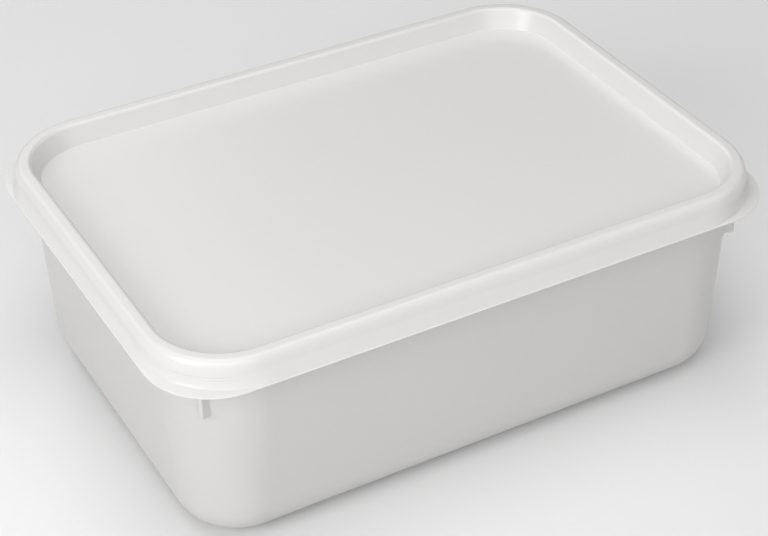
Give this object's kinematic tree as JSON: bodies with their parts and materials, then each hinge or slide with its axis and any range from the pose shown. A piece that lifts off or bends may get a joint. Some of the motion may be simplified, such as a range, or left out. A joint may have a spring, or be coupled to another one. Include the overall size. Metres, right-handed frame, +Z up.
{
  "type": "ice cream tub",
  "caption": "Closed rectangular food tub with rounded corners and a press-on lid whose raised bead frames a recessed flat panel above a flared lip.",
  "frame": {"origin": "on the floor under the middle of the tub", "axes": "+X along the long sides, +Y along the short sides, +Z up through the lid"},
  "size_m": [0.225, 0.1622, 0.0808],
  "materials": {
    "tub_plastic": "satin white polypropylene",
    "lid_plastic": "satin white polypropylene"
  },
  "bodies": {
    "root": {"tub": "tub_plastic", "lid": "lid_plastic"}
  },
  "joints": []
}
